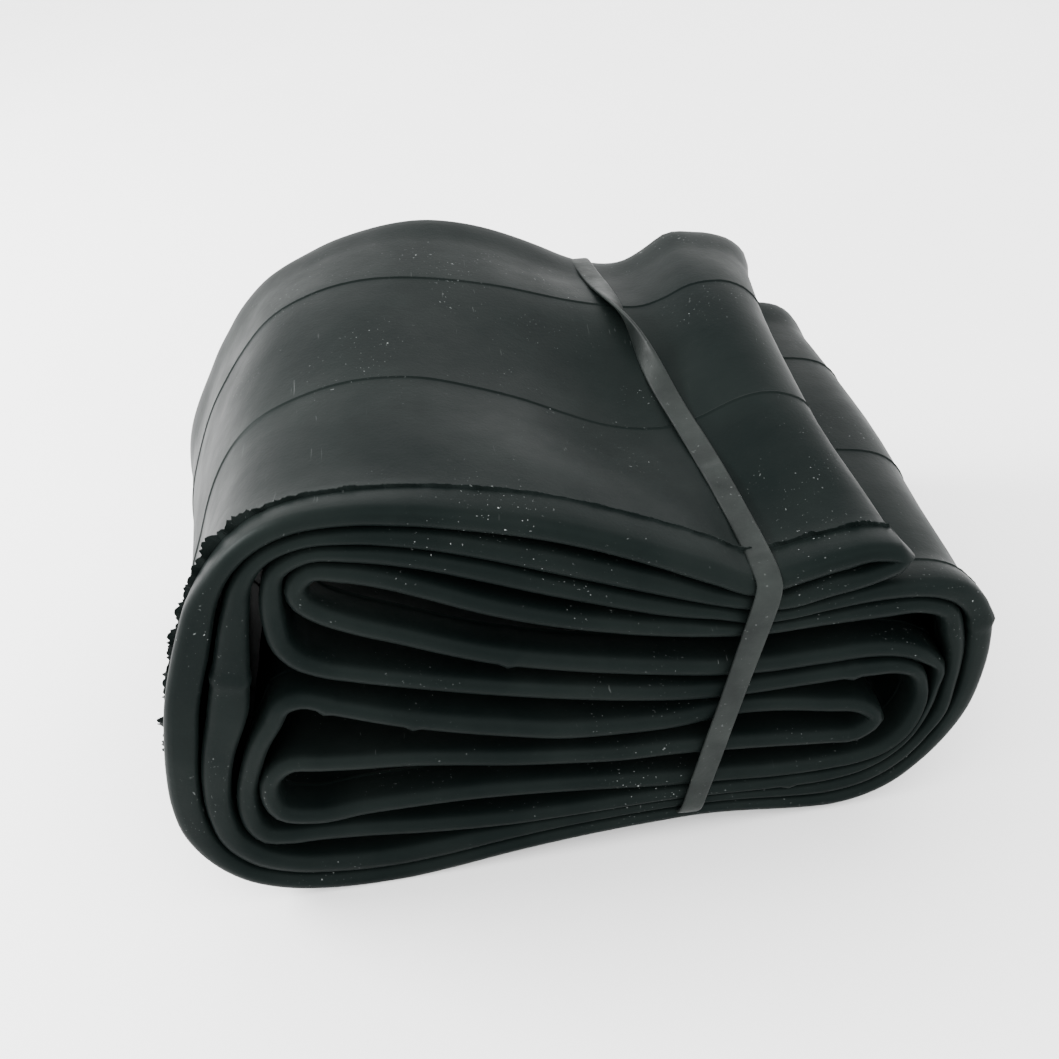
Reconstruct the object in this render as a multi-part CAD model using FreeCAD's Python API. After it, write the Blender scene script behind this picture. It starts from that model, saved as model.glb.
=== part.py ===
"""Bicycle inner tube for a wide tyre, deflated, folded flat into a bundle and held by a rubber band.

The tube is one closed ring of flattened rubber hose. It is laid double, end to end, and the double
layer is folded over twice, so that a cut across the bundle shows twelve strands and one closed line.
The air valve stands on the ring's inner side, in the pocket between two strands.

Frame: +X along the bundle towards the free outer fold, +Y across the flattened hose, +Z up.
Origin: centre of the bundle's footprint, on the surface that it lies on. Millimetres.
"""
import FreeCAD, Part
import math
import os

os.makedirs("parts", exist_ok=True)

Vector = FreeCAD.Vector

# ---- driving dimensions: the hose ------------------------------------------------------------
FLAT_WIDTH = 112.0          # width of the hose pressed flat
PLY = 1.9                   # two walls lying on each other, with no air left between them
CORNER_SHARE = 0.45         # share of the shorter run that a rounded corner uses
LEAST_TURN = 0.001          # radians; a gentler corner is left as part of one straight run
BUNDLE_MIDDLE_X = 2.0       # middle of the fold line's extent along X

# ---- the fold line: middle of the flattened hose, seen along Y, as (x, z) -----------------------
# It starts at the outer end fold and runs once round the closed ring.
OUTER_END = [(61.8, 61.8), (61.6, 68.2)]
TOP_OUTER = [(52, 71), (43, 69.6), (36, 67.4), (29, 67.8), (20, 72.6), (9, 79), (-4, 85), (-18, 89.2),
             (-33, 90.6)]
LEFT_OUTER = [(-45, 88), (-54, 81), (-61, 71), (-67, 59), (-71.6, 46), (-74.9, 33), (-74.9, 20),
              (-71.5, 10.5), (-64, 4.5)]
BOTTOM_OUTER = [(-54, PLY / 2), (-34, PLY / 2), (-18, 3.2), (0, 5.5), (22, 5.5), (38, 3.2),
                (47, PLY / 2), (57, PLY / 2)]
RIGHT_OUTER = [(66, 5.5), (73, 13.5), (77.2, 24.5), (78.9, 34), (78.9, 44.5), (75.5, 51.5), (69, 55)]
THIRD_STRAND = [(60, 56), (50, 55.2), (42, 54.4), (34, 55.2), (25, 58.4), (12, 64.2), (-3, 71.2),
                (-17, 78.2), (-29, 83), (-38, 84.2)]
UPPER_LEFT_TURN = [(-43.4, 81.4), (-46.4, 74), (-46.4, 65.4), (-43.2, 60.2), (-36, 56.7)]
SIXTH_STRAND = [(-24, 52.2), (-10, 47.2), (4, 43), (18, 39.8), (32, 38), (46, 37.5), (58, 37.4)]
INNER_RIGHT_TURN = [(64.4, 36.6), (67.4, 33), (67.6, 26.5), (65.3, 21), (61.2, 16.4), (56, 13.8)]
NINTH_STRAND = [(46, 13.3), (34, 14.3), (18, 16.6), (2, 19.3), (-14, 21.4), (-30, 22.3), (-44, 22)]
LOWER_LEFT_TURN = [(-52.3, 22.3), (-56, 25.4), (-56.7, 30), (-55, 34), (-50.5, 35.4)]
EIGHTH_STRAND = [(-42, 34), (-30, 31.6), (-18, 28.8), (-4, 26.4), (10, 25), (24, 24.3), (36, 23.2),
                 (48, 21.6)]
INNER_END = [(57, 20.6), (60.6, 24.4), (58.4, 28.4)]
SEVENTH_STRAND = [(50, 29.8), (40, 31.8), (29, 32.8), (18, 33.4), (8, 35), (-2, 38.2), (-14, 42.2),
                  (-26, 46), (-38, 50.4), (-47, 54.2)]
VALVE_WALL = [(-52.7, 55), (-57.65, 35.2)]      # a straight stretch, square to the valve
LOWER_LEFT_OUTER_TURN = [(-60.6, 27.5), (-61.8, 21.5), (-59.8, 17.6)]
TENTH_STRAND = [(-54, 16.6), (-42, 15.9), (-28, 14.5), (-14, 13.3), (0, 12.7), (14, 12.4), (26, 11.7),
                (40, 10.3), (50, 9.9)]
RIGHT_INNER = [(57.5, 11), (63.5, 14), (67.8, 19.2), (70.3, 25.5), (71, 32), (69.8, 37.5), (65.5, 41.2)]
FIFTH_STRAND = [(58, 42.4), (46, 42.8), (36, 43.4), (24, 45.2), (10, 48.7), (-4, 53), (-18, 59),
                (-30, 65.6), (-38, 71.3)]
UPPER_LEFT_INNER_TURN = [(-41.8, 75.2), (-41.4, 79.4), (-36.5, 80.8)]
FOURTH_STRAND = [(-30, 78.6), (-20, 73.6), (-8, 66.8), (4, 61.4), (16, 57.2), (27, 53.9), (36, 52.2),
                 (48, 51.7), (60, 51.6)]
RIGHT_MIDDLE = [(68.5, 50.8), (73.2, 47), (74.8, 40), (74.8, 32), (73.1, 24.5), (70.2, 17.6),
                (65.7, 11.8), (59.3, 8)]
ELEVENTH_STRAND = [(51, 6.6), (44, 7), (34, 8), (22, 9), (8, 9), (-8, 8.6), (-22, 7.2), (-36, 5.6),
                   (-50, 6.2)]
LEFT_MIDDLE = [(-60, 9.2), (-66.5, 14.5), (-69.6, 21), (-69.4, 29), (-67.2, 38), (-63.8, 48), (-59.8, 58),
               (-56, 67.5), (-51.8, 76.5), (-46.5, 83.4)]
SECOND_STRAND = [(-39, 87.2), (-30, 86.9), (-18, 84.2), (-6, 79.2), (6, 73.2), (18, 66.6), (28, 61.2),
                 (36, 58.3), (44, 57.8), (54, 59.4)]
FOLD_LINE = (OUTER_END + TOP_OUTER + LEFT_OUTER + BOTTOM_OUTER + RIGHT_OUTER + THIRD_STRAND
             + UPPER_LEFT_TURN + SIXTH_STRAND + INNER_RIGHT_TURN + NINTH_STRAND + LOWER_LEFT_TURN
             + EIGHTH_STRAND + INNER_END + SEVENTH_STRAND + VALVE_WALL + LOWER_LEFT_OUTER_TURN
             + TENTH_STRAND + RIGHT_INNER + FIFTH_STRAND + UPPER_LEFT_INNER_TURN + FOURTH_STRAND
             + RIGHT_MIDDLE + ELEVENTH_STRAND + LEFT_MIDDLE + SECOND_STRAND)

# ---- driving dimensions: the rubber band -----------------------------------------------------
BAND_WIDTH = 4.5
BAND_THICKNESS = 0.9
BAND_OUTSIDE_Y = 57.1       # its middle line runs this far out, in front of and behind the folds
BAND_TOP_FRONT = (39.0, 71.4)       # (x, z) of its middle line
BAND_TOP_BACK = (22.0, 75.6)
BAND_FRONT_LEAN = 0.255     # millimetres of X for each millimetre of height
BAND_BOTTOM_Z = 3.0
BAND_CORNER_SETBACK = 1.2   # the stretched band bends tightly round the bundle's four edges

# ---- driving dimensions: the valve, measured along its own axis from the middle of its ply ---------
VALVE_Z = 45.6              # height of the valve's foot on the straight wall
SEAT = PLY / 2              # the outside of the hose, where the valve's foot is bonded
FOOT_RADIUS = 5.8           # moulded rubber foot and sleeve
FOOT_THICKNESS = 1.5
FOOT_RIM = 0.6              # straight edge of the foot before it slopes up to the sleeve
SLEEVE_FOOT_RADIUS = 4.9
SLEEVE_TOP_RADIUS = 4.3
SLEEVE_TOP = 21.0
STEM_RADIUS = 3.85          # outside of the cap thread
STEM_SHANK_RADIUS = 3.3
STEM_FLANGE_RADIUS = 4.4
STEM_FLANGE_THICKNESS = 0.8
STEM_TOP = 31.0
STEM_BORE_RADIUS = 2.0
STEM_SMOOTH_END = 0.5       # unthreaded tip
CORE_SEAT = 18.6            # where the stem's bore opens out for the core
CORE_BORE_RADIUS = 2.3
CORE_THREAD_START = 25.2
CORE_THREAD_RADIUS = 2.6
CORE_SEAT_CHAMFER = 0.3
THREAD_PITCH = 0.794
THREAD_DEPTH = 0.35
THREAD_START = 21.8
THREAD_RUN_OUT = 0.4

BARREL_RADIUS = 1.85
BARREL_WAIST_RADIUS = 1.55  # under the gasket
BARREL_CHAMFER = 0.6
BARREL_BORE_RADIUS = 1.3
BARREL_BOTTOM = 18.0
BARREL_LEDGE = 19.6         # inner ledge that carries the spring
BARREL_TOP = 25.4
PIN_HOLE_RADIUS = 0.75
GASKET_TOP = 20.4
PLUG_TOP = 30.2
PLUG_TONGUE = 1.5           # height of the plug's two flats
PLUG_TONGUE_THICKNESS = 2.2
PIN_RADIUS = 0.55
PIN_BOTTOM = 15.6
PIN_TOP = 30.8
PIN_COLLAR_RADIUS = 1.05
PIN_COLLAR = 23.8           # collar that the spring pushes up
PIN_COLLAR_THICKNESS = 0.5
PIN_HEAD_RADIUS = 0.8
PIN_HEAD_HEIGHT = 0.6
CUP_RADIUS = 1.65
CUP_BOTTOM = 16.2
CUP_TOP = 17.7
CUP_WALL = 0.25
CUP_FLOOR = 0.5
SPRING_WIRE_RADIUS = 0.14
SPRING_COIL_RADIUS = 0.86
SPRING_TURNS = 7
HAIR = 0.01                 # gap between faces that would otherwise share a plane

CAP_BORE_RADIUS = 3.92
CAP_RADIUS = 4.7
CAP_BOTTOM = 22.4
CAP_ROOF = 32.4
CAP_TOP = 33.6
CAP_RIBS = 20
CAP_RIB_RADIUS = 0.28
CAP_RIB_MARGIN = 0.6        # the ribs stop this far from the cap's lower end, and twice as far from its top
CAP_GASKET_THICKNESS = 0.7
CAP_GASKET_INNER_RADIUS = 2.75


# ---- rounded loops ---------------------------------------------------------------------------
def rounded_loop(points, offset, to_space, most_setback=math.inf):
    """One closed wire of lines and tangent arcs round the given corners, shifted to its left.

    An arc starts this far before its corner: CORNER_SHARE of the shorter run, but never over most_setback.
    """
    flat = [Vector(a, b, 0) for a, b in points]
    corners = []
    for i, here in enumerate(flat):
        before = flat[i - 1]
        after = flat[(i + 1) % len(flat)]
        shorter_run = min(here.distanceToPoint(before), here.distanceToPoint(after))
        setback = min(CORNER_SHARE * shorter_run, most_setback)
        way_in = (here - before).normalize()
        way_out = (after - here).normalize()
        left_in = Vector(-way_in.y, way_in.x, 0)
        left_out = Vector(-way_out.y, way_out.x, 0)
        left_mid = (left_in + left_out).normalize()
        half_turn = way_in.getAngle(way_out) / 2
        if half_turn < LEAST_TURN:
            continue
        side = 1 if way_in.cross(way_out).z > 0 else -1
        radius = setback / math.tan(half_turn)
        centre = here - way_in * setback + left_in * (side * radius)
        start = here - way_in * setback + left_in * offset
        middle = centre - left_mid * (side * radius - offset)
        end = here + way_out * setback + left_out * offset
        corners.append([to_space(p) for p in (start, middle, end)])
    edges = []
    for i, (start, middle, end) in enumerate(corners):
        edges.append(Part.LineSegment(corners[i - 1][2], start).toShape())
        edges.append(Part.Arc(start, middle, end).toShape())
    return Part.Wire(edges)


def strip_ring(points, half_thickness, to_space, sweep, most_setback=math.inf):
    """A closed strip of the given thickness along the rounded loop, extruded by the sweep vector."""
    wires = [rounded_loop(points, side * half_thickness, to_space, most_setback) for side in (1, -1)]
    faces = sorted((Part.Face(wire) for wire in wires), key=lambda face: face.Area)
    return faces[1].extrude(sweep).cut(faces[0].extrude(sweep))


# ---- the valve's own frame ---------------------------------------------------------------------
(WALL_TOP_X, WALL_TOP_Z), (WALL_FOOT_X, WALL_FOOT_Z) = VALVE_WALL
WALL_LEAN = (WALL_TOP_X - WALL_FOOT_X) / (WALL_TOP_Z - WALL_FOOT_Z)
VALVE_X = WALL_TOP_X - WALL_LEAN * (WALL_TOP_Z - VALVE_Z) - BUNDLE_MIDDLE_X
VALVE_TILT = 90 + math.degrees(math.atan(WALL_LEAN))
VALVE_TURN = FreeCAD.Rotation(Vector(0, 1, 0), VALVE_TILT)
VALVE_PLACE = FreeCAD.Placement(Vector(VALVE_X, 0, VALVE_Z), VALVE_TURN)


def turned(profile):
    """A solid of revolution about the valve's axis from (radius, height) corners."""
    corners = [Vector(radius, 0, height) for radius, height in profile]
    face = Part.Face(Part.makePolygon(corners + corners[:1]))
    return face.revolve(Vector(0, 0, 0), Vector(0, 0, 1), 360)


def rod(radius, bottom, top, x=0.0, y=0.0):
    return Part.makeCylinder(radius, top - bottom, Vector(x, y, bottom))


# ---- soft parts --------------------------------------------------------------------------------
def tube_body():
    """The flattened ring of hose, as one closed strip: its two walls lie on each other."""
    def front(p):
        return Vector(p.x - BUNDLE_MIDDLE_X, -FLAT_WIDTH / 2, p.y)
    return strip_ring(FOLD_LINE, PLY / 2, front, Vector(0, FLAT_WIDTH, 0))


def rubber_band():
    """A flat closed band round the bundle, over the top dip and under the raised middle."""
    front_x, front_z = BAND_TOP_FRONT
    back_x, back_z = BAND_TOP_BACK

    def foot_x(x, z):
        return x - BAND_FRONT_LEAN * (z - BAND_BOTTOM_Z)

    origin = Vector(foot_x(front_x, front_z) - BUNDLE_MIDDLE_X, -BAND_OUTSIDE_Y, BAND_BOTTOM_Z)
    along = Vector(foot_x(back_x, back_z) - foot_x(front_x, front_z), 2 * BAND_OUTSIDE_Y, 0)
    length = along.Length
    up = Vector(BAND_FRONT_LEAN, 0, 1)
    outline = [(0, 0), (length, 0), (length, back_z - BAND_BOTTOM_Z), (0, front_z - BAND_BOTTOM_Z)]

    def to_space(p):
        return origin + along * (p.x / length) + up * p.y

    normal = along.cross(up).normalize()
    sweep = normal * BAND_WIDTH
    band = strip_ring(outline, BAND_THICKNESS / 2, to_space, sweep, BAND_CORNER_SETBACK)
    band.translate(sweep * -0.5)
    return band


# ---- valve parts, in the valve's frame -----------------------------------------------------------
def valve_base():
    """Moulded rubber foot and sleeve round the brass stem."""
    flange_top = SEAT + STEM_FLANGE_THICKNESS
    foot_top = SEAT + FOOT_THICKNESS
    return turned([(STEM_SHANK_RADIUS, flange_top), (STEM_FLANGE_RADIUS, flange_top),
                   (STEM_FLANGE_RADIUS, SEAT), (FOOT_RADIUS, SEAT), (FOOT_RADIUS, SEAT + FOOT_RIM),
                   (SLEEVE_FOOT_RADIUS, foot_top), (SLEEVE_FOOT_RADIUS - 0.2, foot_top + 2),
                   (SLEEVE_TOP_RADIUS, SLEEVE_TOP - 0.5), (SLEEVE_TOP_RADIUS - 0.4, SLEEVE_TOP),
                   (STEM_SHANK_RADIUS, SLEEVE_TOP)])


def valve_stem():
    """Brass stem: foot flange, plain shank, threaded end, and a stepped bore for the core."""
    ridges = []
    height = THREAD_START
    while height + THREAD_PITCH < STEM_TOP - STEM_SMOOTH_END:
        ridges += [(STEM_RADIUS - THREAD_DEPTH, height), (STEM_RADIUS, height + THREAD_PITCH / 2)]
        height += THREAD_PITCH
    outside = [(STEM_FLANGE_RADIUS, SEAT), (STEM_FLANGE_RADIUS, SEAT + STEM_FLANGE_THICKNESS),
               (STEM_SHANK_RADIUS, SEAT + STEM_FLANGE_THICKNESS),
               (STEM_SHANK_RADIUS, THREAD_START - THREAD_RUN_OUT)]
    outside += ridges
    outside += [(STEM_RADIUS - THREAD_DEPTH, height), (STEM_RADIUS - THREAD_DEPTH, STEM_TOP)]
    inside = [(CORE_THREAD_RADIUS, STEM_TOP), (CORE_THREAD_RADIUS, CORE_THREAD_START),
              (CORE_BORE_RADIUS, CORE_THREAD_START - CORE_SEAT_CHAMFER),
              (CORE_BORE_RADIUS, CORE_SEAT + CORE_SEAT_CHAMFER),
              (STEM_BORE_RADIUS, CORE_SEAT), (STEM_BORE_RADIUS, SEAT)]
    return turned(outside + inside)


def core_plug():
    """Threaded top of the valve core, with a flat tongue for the core key."""
    shoulder = PLUG_TOP - PLUG_TONGUE
    body = rod(CORE_THREAD_RADIUS - 0.03, BARREL_TOP, shoulder)
    tongue = Part.makeBox(2 * CORE_THREAD_RADIUS, PLUG_TONGUE_THICKNESS, PLUG_TONGUE,
                          Vector(-CORE_THREAD_RADIUS, -PLUG_TONGUE_THICKNESS / 2, shoulder))
    tongue = tongue.common(rod(CORE_THREAD_RADIUS - 0.1, shoulder, PLUG_TOP))
    return body.fuse(tongue).removeSplitter().cut(rod(PIN_COLLAR_RADIUS + 0.1, BARREL_TOP, PLUG_TOP))


def core_barrel():
    """Lower tube of the core: spring chamber with an inner ledge, and a groove for the gasket."""
    tip_radius = BARREL_WAIST_RADIUS - 0.25
    return turned([(PIN_HOLE_RADIUS, BARREL_BOTTOM), (tip_radius, BARREL_BOTTOM),
                   (BARREL_WAIST_RADIUS, BARREL_BOTTOM + BARREL_CHAMFER), (BARREL_WAIST_RADIUS, GASKET_TOP),
                   (BARREL_RADIUS, GASKET_TOP), (BARREL_RADIUS, BARREL_TOP),
                   (BARREL_BORE_RADIUS, BARREL_TOP), (BARREL_BORE_RADIUS, BARREL_LEDGE),
                   (PIN_HOLE_RADIUS, BARREL_LEDGE)])


def barrel_gasket():
    """Sealing ring between the core barrel and the stem's seat."""
    bottom = CORE_SEAT + CORE_SEAT_CHAMFER
    return turned([(BARREL_WAIST_RADIUS, bottom), (CORE_BORE_RADIUS, bottom),
                   (CORE_BORE_RADIUS, GASKET_TOP - 0.4), (BARREL_RADIUS + 0.1, GASKET_TOP),
                   (BARREL_WAIST_RADIUS, GASKET_TOP)])


def core_pin():
    """Centre pin with the collar that carries the spring and a rounded head."""
    collar_top = PIN_COLLAR + PIN_COLLAR_THICKNESS
    head = PIN_TOP - PIN_HEAD_HEIGHT
    return turned([(0, PIN_BOTTOM), (PIN_RADIUS, PIN_BOTTOM), (PIN_RADIUS, PIN_COLLAR),
                   (PIN_COLLAR_RADIUS, PIN_COLLAR), (PIN_COLLAR_RADIUS, collar_top),
                   (PIN_RADIUS, collar_top + 0.3), (PIN_RADIUS, head), (PIN_HEAD_RADIUS, head + 0.1),
                   (PIN_HEAD_RADIUS, PIN_TOP - 0.2), (PIN_HEAD_RADIUS - 0.3, PIN_TOP), (0, PIN_TOP)])


def pin_cup():
    """Brass cup crimped on the pin's lower end. It holds the sealing washer."""
    inside = CUP_RADIUS - CUP_WALL
    floor_top = CUP_BOTTOM + CUP_FLOOR
    return turned([(PIN_RADIUS, CUP_BOTTOM), (CUP_RADIUS - 0.3, CUP_BOTTOM), (CUP_RADIUS, CUP_BOTTOM + 0.3),
                   (CUP_RADIUS, CUP_TOP), (inside, CUP_TOP), (inside, floor_top), (PIN_RADIUS, floor_top)])


def cup_gasket():
    """Rubber washer in the cup. It closes the barrel's lower end."""
    inside = CUP_RADIUS - CUP_WALL
    floor_top = CUP_BOTTOM + CUP_FLOOR
    top = BARREL_BOTTOM - 2 * HAIR
    return turned([(PIN_RADIUS, floor_top), (inside, floor_top), (inside, CUP_TOP), (inside - 0.2, top),
                   (PIN_RADIUS, top)])


def core_spring():
    """Coil spring between the barrel's ledge and the pin's collar."""
    bottom = BARREL_LEDGE + SPRING_WIRE_RADIUS + HAIR
    height = PIN_COLLAR - SPRING_WIRE_RADIUS - HAIR - bottom
    helix = Part.makeHelix(height / SPRING_TURNS, height, SPRING_COIL_RADIUS)
    helix.translate(Vector(0, 0, bottom))
    wire = Part.Wire(helix.Edges)
    start = Vector(SPRING_COIL_RADIUS, 0, bottom)
    section = Part.Wire(Part.makeCircle(SPRING_WIRE_RADIUS, start, Vector(0, 1, 0)))
    return wire.makePipeShell([section], True, True)


def dust_cap():
    """Screw cap with a ribbed grip."""
    skin = CAP_RADIUS - 0.1
    cap = turned([(CAP_BORE_RADIUS, CAP_BOTTOM), (skin - 0.2, CAP_BOTTOM), (skin, CAP_BOTTOM + 0.4),
                  (skin, CAP_TOP - 1), (skin - 0.8, CAP_TOP), (0, CAP_TOP), (0, CAP_ROOF),
                  (CAP_BORE_RADIUS, CAP_ROOF)])
    middle = CAP_RADIUS - CAP_RIB_RADIUS
    for i in range(CAP_RIBS):
        angle = 2 * math.pi * i / CAP_RIBS
        rib = rod(CAP_RIB_RADIUS, CAP_BOTTOM + CAP_RIB_MARGIN, CAP_TOP - 2 * CAP_RIB_MARGIN,
                  middle * math.cos(angle), middle * math.sin(angle))
        cap = cap.fuse(rib)
    return cap.removeSplitter()


def cap_gasket():
    """Sealing washer under the cap's roof."""
    outer = CAP_BORE_RADIUS - 2 * HAIR
    bottom = CAP_ROOF - CAP_GASKET_THICKNESS
    top = CAP_ROOF - HAIR
    return turned([(CAP_GASKET_INNER_RADIUS, bottom), (outer, bottom), (outer, top),
                   (CAP_GASKET_INNER_RADIUS, top)])


SOFT_PARTS = [tube_body, rubber_band]
VALVE_PARTS = [valve_base, valve_stem, core_plug, core_barrel, barrel_gasket, core_pin, pin_cup,
               cup_gasket, core_spring, dust_cap, cap_gasket]

for make in SOFT_PARTS + VALVE_PARTS:
    shape = make()
    if make in VALVE_PARTS:
        shape.Placement = VALVE_PLACE.multiply(shape.Placement)
    solid = shape.Solids[0] if len(shape.Solids) == 1 else shape
    solid.exportStep("parts/" + make.__name__ + ".step")
    box = solid.BoundBox
    print(f"{make.__name__:14s} {solid.ShapeType} valid {solid.isValid()} volume {solid.Volume:9.2f}",
          f"x {box.XMin:.2f}..{box.XMax:.2f} y {box.YMin:.2f}..{box.YMax:.2f}",
          f"z {box.ZMin:.2f}..{box.ZMax:.2f}")

fold_length = rounded_loop(FOLD_LINE, 0, lambda p: p).Length
print(f"ring length {fold_length:.0f} mm")
print(f"valve foot at x {VALVE_X:.3f} z {VALVE_Z:.3f}, tilt {VALVE_TILT:.3f}")
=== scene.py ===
"""Looks of a folded bicycle inner tube that is held together by a rubber band.

The tube is swept as one closed ring of flattened hose. Its fold line is given twice, at the middle
of the hose's width and at the folded edge in front, and every strand blends from one to the other.
Lengths are written in millimetres here and turned into metres when a mesh is made.
"""
import math
import bmesh
import bpy
import numpy as np
from mathutils import Matrix, Vector


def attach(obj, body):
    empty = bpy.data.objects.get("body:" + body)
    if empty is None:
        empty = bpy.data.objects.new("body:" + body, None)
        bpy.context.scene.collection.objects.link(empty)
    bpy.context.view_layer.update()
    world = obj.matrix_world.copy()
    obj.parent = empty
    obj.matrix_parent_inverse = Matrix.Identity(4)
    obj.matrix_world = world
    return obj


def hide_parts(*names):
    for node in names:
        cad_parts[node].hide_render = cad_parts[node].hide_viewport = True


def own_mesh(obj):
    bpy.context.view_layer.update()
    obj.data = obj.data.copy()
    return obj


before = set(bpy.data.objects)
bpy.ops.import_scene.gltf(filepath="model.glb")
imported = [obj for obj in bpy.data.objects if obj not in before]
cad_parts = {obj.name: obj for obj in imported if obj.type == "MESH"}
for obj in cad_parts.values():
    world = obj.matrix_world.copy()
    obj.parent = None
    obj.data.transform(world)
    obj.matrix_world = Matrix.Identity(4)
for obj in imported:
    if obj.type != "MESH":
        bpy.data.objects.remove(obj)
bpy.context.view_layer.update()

MM = 0.001
BUNDLE_MIDDLE_X = 2.0       # the fold lines are drawn this far to the right of the frame

# ---- the hose ------------------------------------------------------------------------------------
HALF_WIDTH = 56.0           # half the width of the flattened hose
STEP = 1.7                  # distance between two cross-sections
NOSE = 2.1                  # length of the rounded folded edge
MIDDLE_HALF = 1.12          # half the thickness of the two walls lying on each other
EDGE_HALF = 2.05            # half the thickness of the bead along a folded edge
BEAD_START, BEAD_FULL = 43.0, 53.5      # the bead swells between these distances from the middle
TOUCHING = 0.488            # share of the distance to the next strand that a wall may take
NOT_A_NEIGHBOUR = 6.2       # stretches nearer than this along the hose are the same strand
ROOM_SHARE = 0.35           # a strand counts as beside a point if this much of its distance is sideways
LEAST_BEND = 0.8            # an inner wall stays under this share of its bend's radius
WALL_UNEVENNESS = 0.1       # share by which the beads' thickness varies
EDGE_WANDER = 0.45          # how far the folded edges wander in and out
TOP_WAVE = 0.35             # height of the soft waves over the top
SEAM_HEIGHT = 0.26
SEAM_HALF = 0.22
SEAM_CLEAR = 0.55           # flat points this far from a seam's middle keep its shading narrow
TREAD_SEAMS = (-48.0, -10.7, 26.7)
RIM_SEAMS = (-26.7, 10.7, 48.0)

# ---- fold line at the middle of the hose, one list for each strand and the turn after it -----------
MIDDLE_LINE = [
    [(61.8, 61.8), (61.6, 68.2), (52, 71), (43, 69.6), (36, 67.4), (29, 67.8), (20, 72.6), (9, 79),
     (-4, 85), (-18, 89.2), (-33, 90.6), (-45, 88), (-54, 81), (-61, 71), (-67, 59), (-71.6, 46),
     (-74.9, 33), (-74.9, 20), (-71.5, 10.5), (-64, 4.5), (-54, 1.1), (-34, 1.1), (-18, 3.2), (0, 5.5),
     (22, 5.5), (38, 3.2), (47, 1.1), (57, 1.1), (66, 5.5), (73, 13.5), (77.2, 24.5), (78.9, 34),
     (78.9, 44.5), (75.5, 51.5), (69, 55)],
    [(60, 56), (50, 55.2), (42, 54.4), (34, 55.2), (25, 58.4), (12, 64.2), (-3, 71.2), (-17, 78.2),
     (-29, 83), (-38, 84.2), (-43.4, 81.4), (-46.4, 74), (-46.4, 65.4), (-43.2, 60.2), (-36, 56.7)],
    [(-24, 52.2), (-10, 47.2), (4, 43), (18, 39.8), (32, 38), (46, 37.5), (58, 37.4), (64.4, 36.6),
     (67.4, 33), (67.6, 26.5), (65.3, 21), (61.2, 16.4), (56, 13.8)],
    [(46, 13.3), (34, 14.3), (18, 16.6), (2, 19.3), (-14, 21.4), (-30, 22.3), (-44, 22), (-52.3, 22.3),
     (-56, 25.4), (-56.7, 30), (-55, 34), (-50.5, 35.4)],
    [(-42, 34), (-30, 31.6), (-18, 28.8), (-4, 26.4), (10, 25), (24, 24.3), (36, 23.2), (48, 21.6),
     (57, 20.6), (60.6, 24.4), (58.4, 28.4)],
    [(50, 29.8), (40, 31.8), (29, 32.8), (18, 33.4), (8, 35), (-2, 38.2), (-14, 42.2), (-26, 46),
     (-38, 50.4), (-47, 54.2), (-52.7, 55), (-57.65, 35.2), (-60.6, 27.5), (-61.8, 21.5), (-59.8, 17.6)],
    [(-54, 16.6), (-42, 15.9), (-28, 14.5), (-14, 13.3), (0, 12.7), (14, 12.4), (26, 11.7), (40, 10.3),
     (50, 9.9), (57.5, 11), (63.5, 14), (67.8, 19.2), (70.3, 25.5), (71, 32), (69.8, 37.5), (65.5, 41.2)],
    [(58, 42.4), (46, 42.8), (36, 43.4), (24, 45.2), (10, 48.7), (-4, 53), (-18, 59), (-30, 65.6),
     (-38, 71.3), (-41.8, 75.2), (-41.4, 79.4), (-36.5, 80.8)],
    [(-30, 78.6), (-20, 73.6), (-8, 66.8), (4, 61.4), (16, 57.2), (27, 53.9), (36, 52.2), (48, 51.7),
     (60, 51.6), (68.5, 50.8), (73.2, 47), (74.8, 40), (74.8, 32), (73.1, 24.5), (70.2, 17.6),
     (65.7, 11.8), (59.3, 8)],
    [(51, 6.6), (44, 7), (34, 8), (22, 9), (8, 9), (-8, 8.6), (-22, 7.2), (-36, 5.6), (-50, 6.2),
     (-60, 9.2), (-66.5, 14.5), (-69.6, 21), (-69.4, 29), (-67.2, 38), (-63.8, 48), (-59.8, 58),
     (-56, 67.5), (-51.8, 76.5), (-46.5, 83.4), (-39, 87.2), (-30, 86.9), (-18, 84.2), (-6, 79.2),
     (6, 73.2), (18, 66.6), (28, 61.2), (36, 58.3), (44, 57.8), (54, 59.4)],
]

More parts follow.
